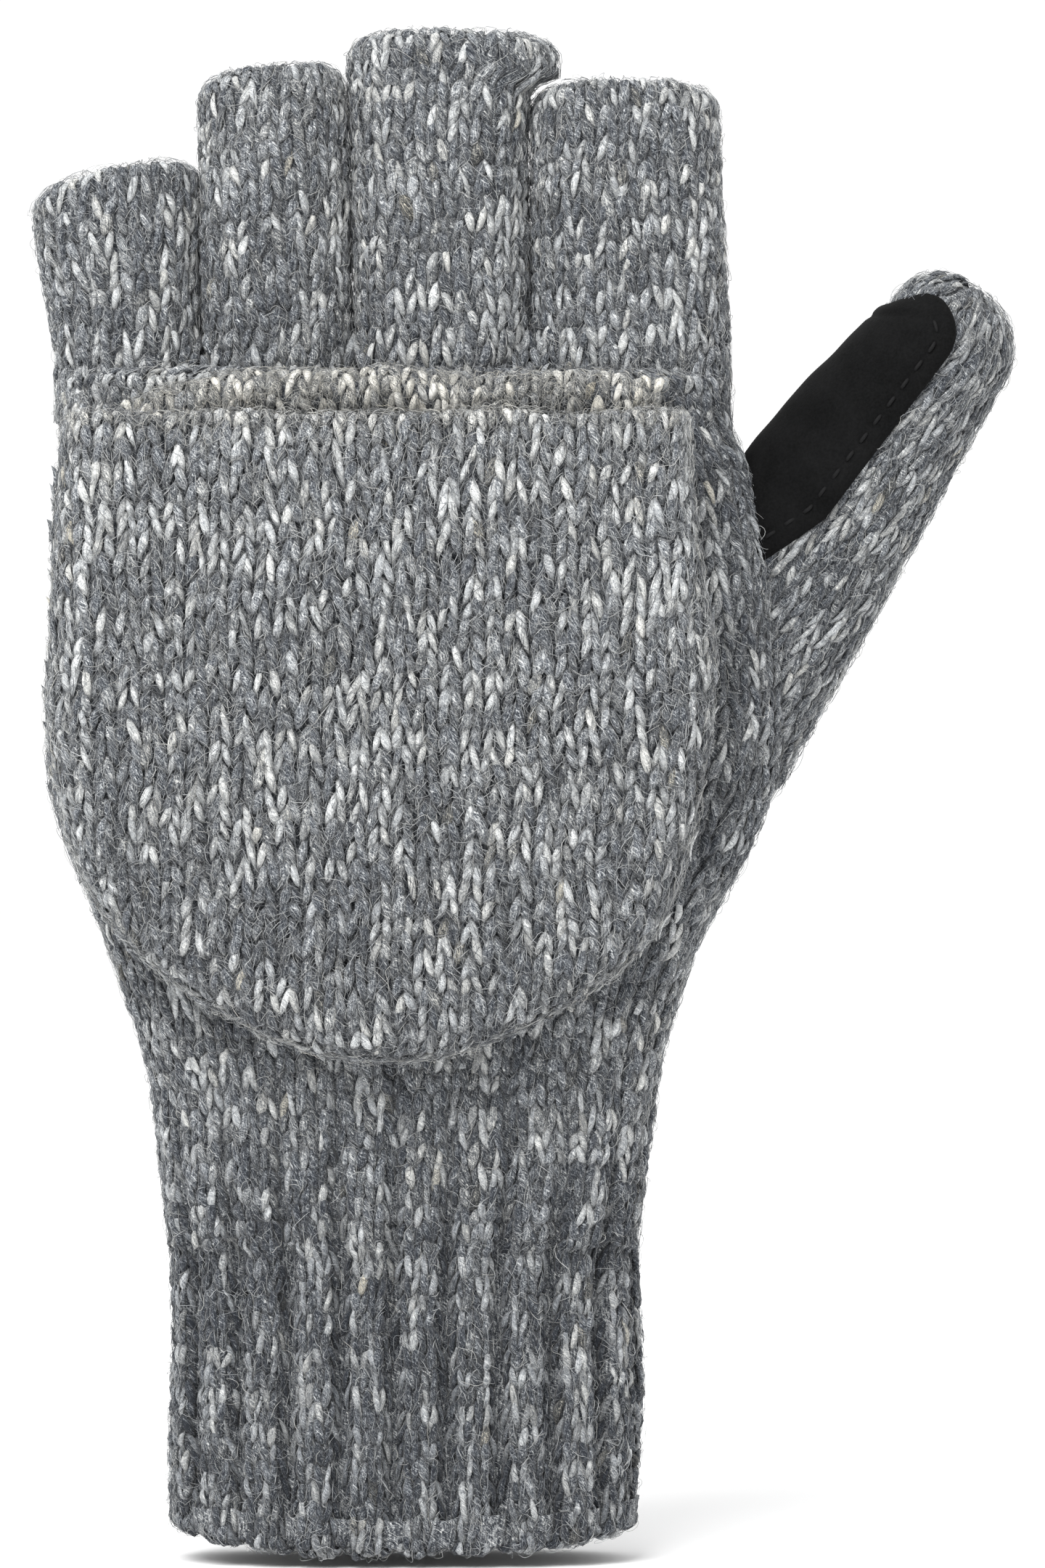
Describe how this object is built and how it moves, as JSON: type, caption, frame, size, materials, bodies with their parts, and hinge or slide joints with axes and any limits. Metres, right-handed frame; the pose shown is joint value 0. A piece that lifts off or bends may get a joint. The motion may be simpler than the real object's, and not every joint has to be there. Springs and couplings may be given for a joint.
{
  "type": "convertible flip-top mitten",
  "caption": "Knitted left-hand mitten with open half fingers, a closed thumb with a suede grip patch, a ribbed cuff and a flip cap hinged across the knuckles, folded back.",
  "frame": {"origin": "centre of the wrist opening, in the plane of the cuff's cast-on edge", "axes": "+Z along the hand towards the fingertips, +X towards the thumb, -Y out of the back of the hand, +Y out of the palm"},
  "size_m": [0.1479, 0.0443, 0.2296],
  "materials": {
    "marl_knit": "hand and finger stockinette in grey marl ragg wool, fuzzy",
    "marl_rib": "cuff rib in the same grey marl wool, slightly darker in its furrows",
    "marl_edge": "brushed, warmer beige-grey edge stitches",
    "black_suede": "black suede with a short nap",
    "black_thread": "black sewing thread"
  },
  "bodies": {
    "hand": {"cuff_welt": "marl_rib", "ribbed_cuff": "marl_rib", "hand_shell": "marl_knit", "cap_hinge_seam": "marl_edge", "crotch_web_little_ring": "marl_knit", "crotch_web_ring_middle": "marl_knit", "crotch_web_middle_index": "marl_knit"},
    "cap_back": {"cap_back_layer": "marl_knit"},
    "cap_front": {"cap_front_layer": "marl_knit", "cap_mouth_rim": "marl_edge"},
    "little_finger": {"little_stall": "marl_knit", "little_bind_off": "marl_knit"},
    "ring_finger": {"ring_stall": "marl_knit", "ring_bind_off": "marl_knit"},
    "middle_finger": {"middle_stall": "marl_knit", "middle_bind_off": "marl_knit"},
    "index_finger": {"index_stall": "marl_knit", "index_bind_off": "marl_knit"},
    "thumb": {"thumb_stall": "marl_knit", "thumb_patch": "black_suede", "thumb_patch_stitching": "black_thread"}
  },
  "joints": [
    {"name": "cap_flip", "type": "hinge", "parent": "hand", "child": "cap_back", "pos_m": [0, -0.0149, 0.174], "axis": [-1, 0, 0], "range_deg": [0, 180], "deforming": ["cap_back_layer", "cap_front_layer", "cap_mouth_rim"]},
    {"name": "cap_open", "type": "slide", "parent": "cap_back", "child": "cap_front", "axis": [0, -1, 0], "range_m": [0, 0.0187]},
    {"name": "little_flex", "type": "hinge", "parent": "hand", "child": "little_finger", "pos_m": [-0.0417, 0, 0.179], "axis": [1, 0, 0], "range_deg": [-60, 10], "stiffness_Nm_per_rad": 0.05, "deforming": ["little_stall"]},
    {"name": "ring_flex", "type": "hinge", "parent": "hand", "child": "ring_finger", "pos_m": [-0.0191, 0, 0.179], "axis": [1, 0, 0], "range_deg": [-60, 10], "stiffness_Nm_per_rad": 0.05, "deforming": ["ring_stall"]},
    {"name": "middle_flex", "type": "hinge", "parent": "hand", "child": "middle_finger", "pos_m": [0.0055, 0, 0.179], "axis": [1, 0, 0], "range_deg": [-60, 10], "stiffness_Nm_per_rad": 0.05, "deforming": ["middle_stall"]},
    {"name": "index_flex", "type": "hinge", "parent": "hand", "child": "index_finger", "pos_m": [0.0341, 0, 0.179], "axis": [1, 0, 0], "range_deg": [-60, 10], "stiffness_Nm_per_rad": 0.05, "deforming": ["index_stall"]},
    {"name": "thumb_swing", "type": "hinge", "parent": "hand", "child": "thumb", "pos_m": [0.0457, 0.0027, 0.1296], "axis": [0, 1, 0], "range_deg": [-12, 20], "stiffness_Nm_per_rad": 0.05, "deforming": ["thumb_stall", "thumb_patch"]}
  ],
  "couplings": [
    {"joint": "cap_open", "follows": "cap_flip", "m_per_rad": 0.0059}
  ]
}
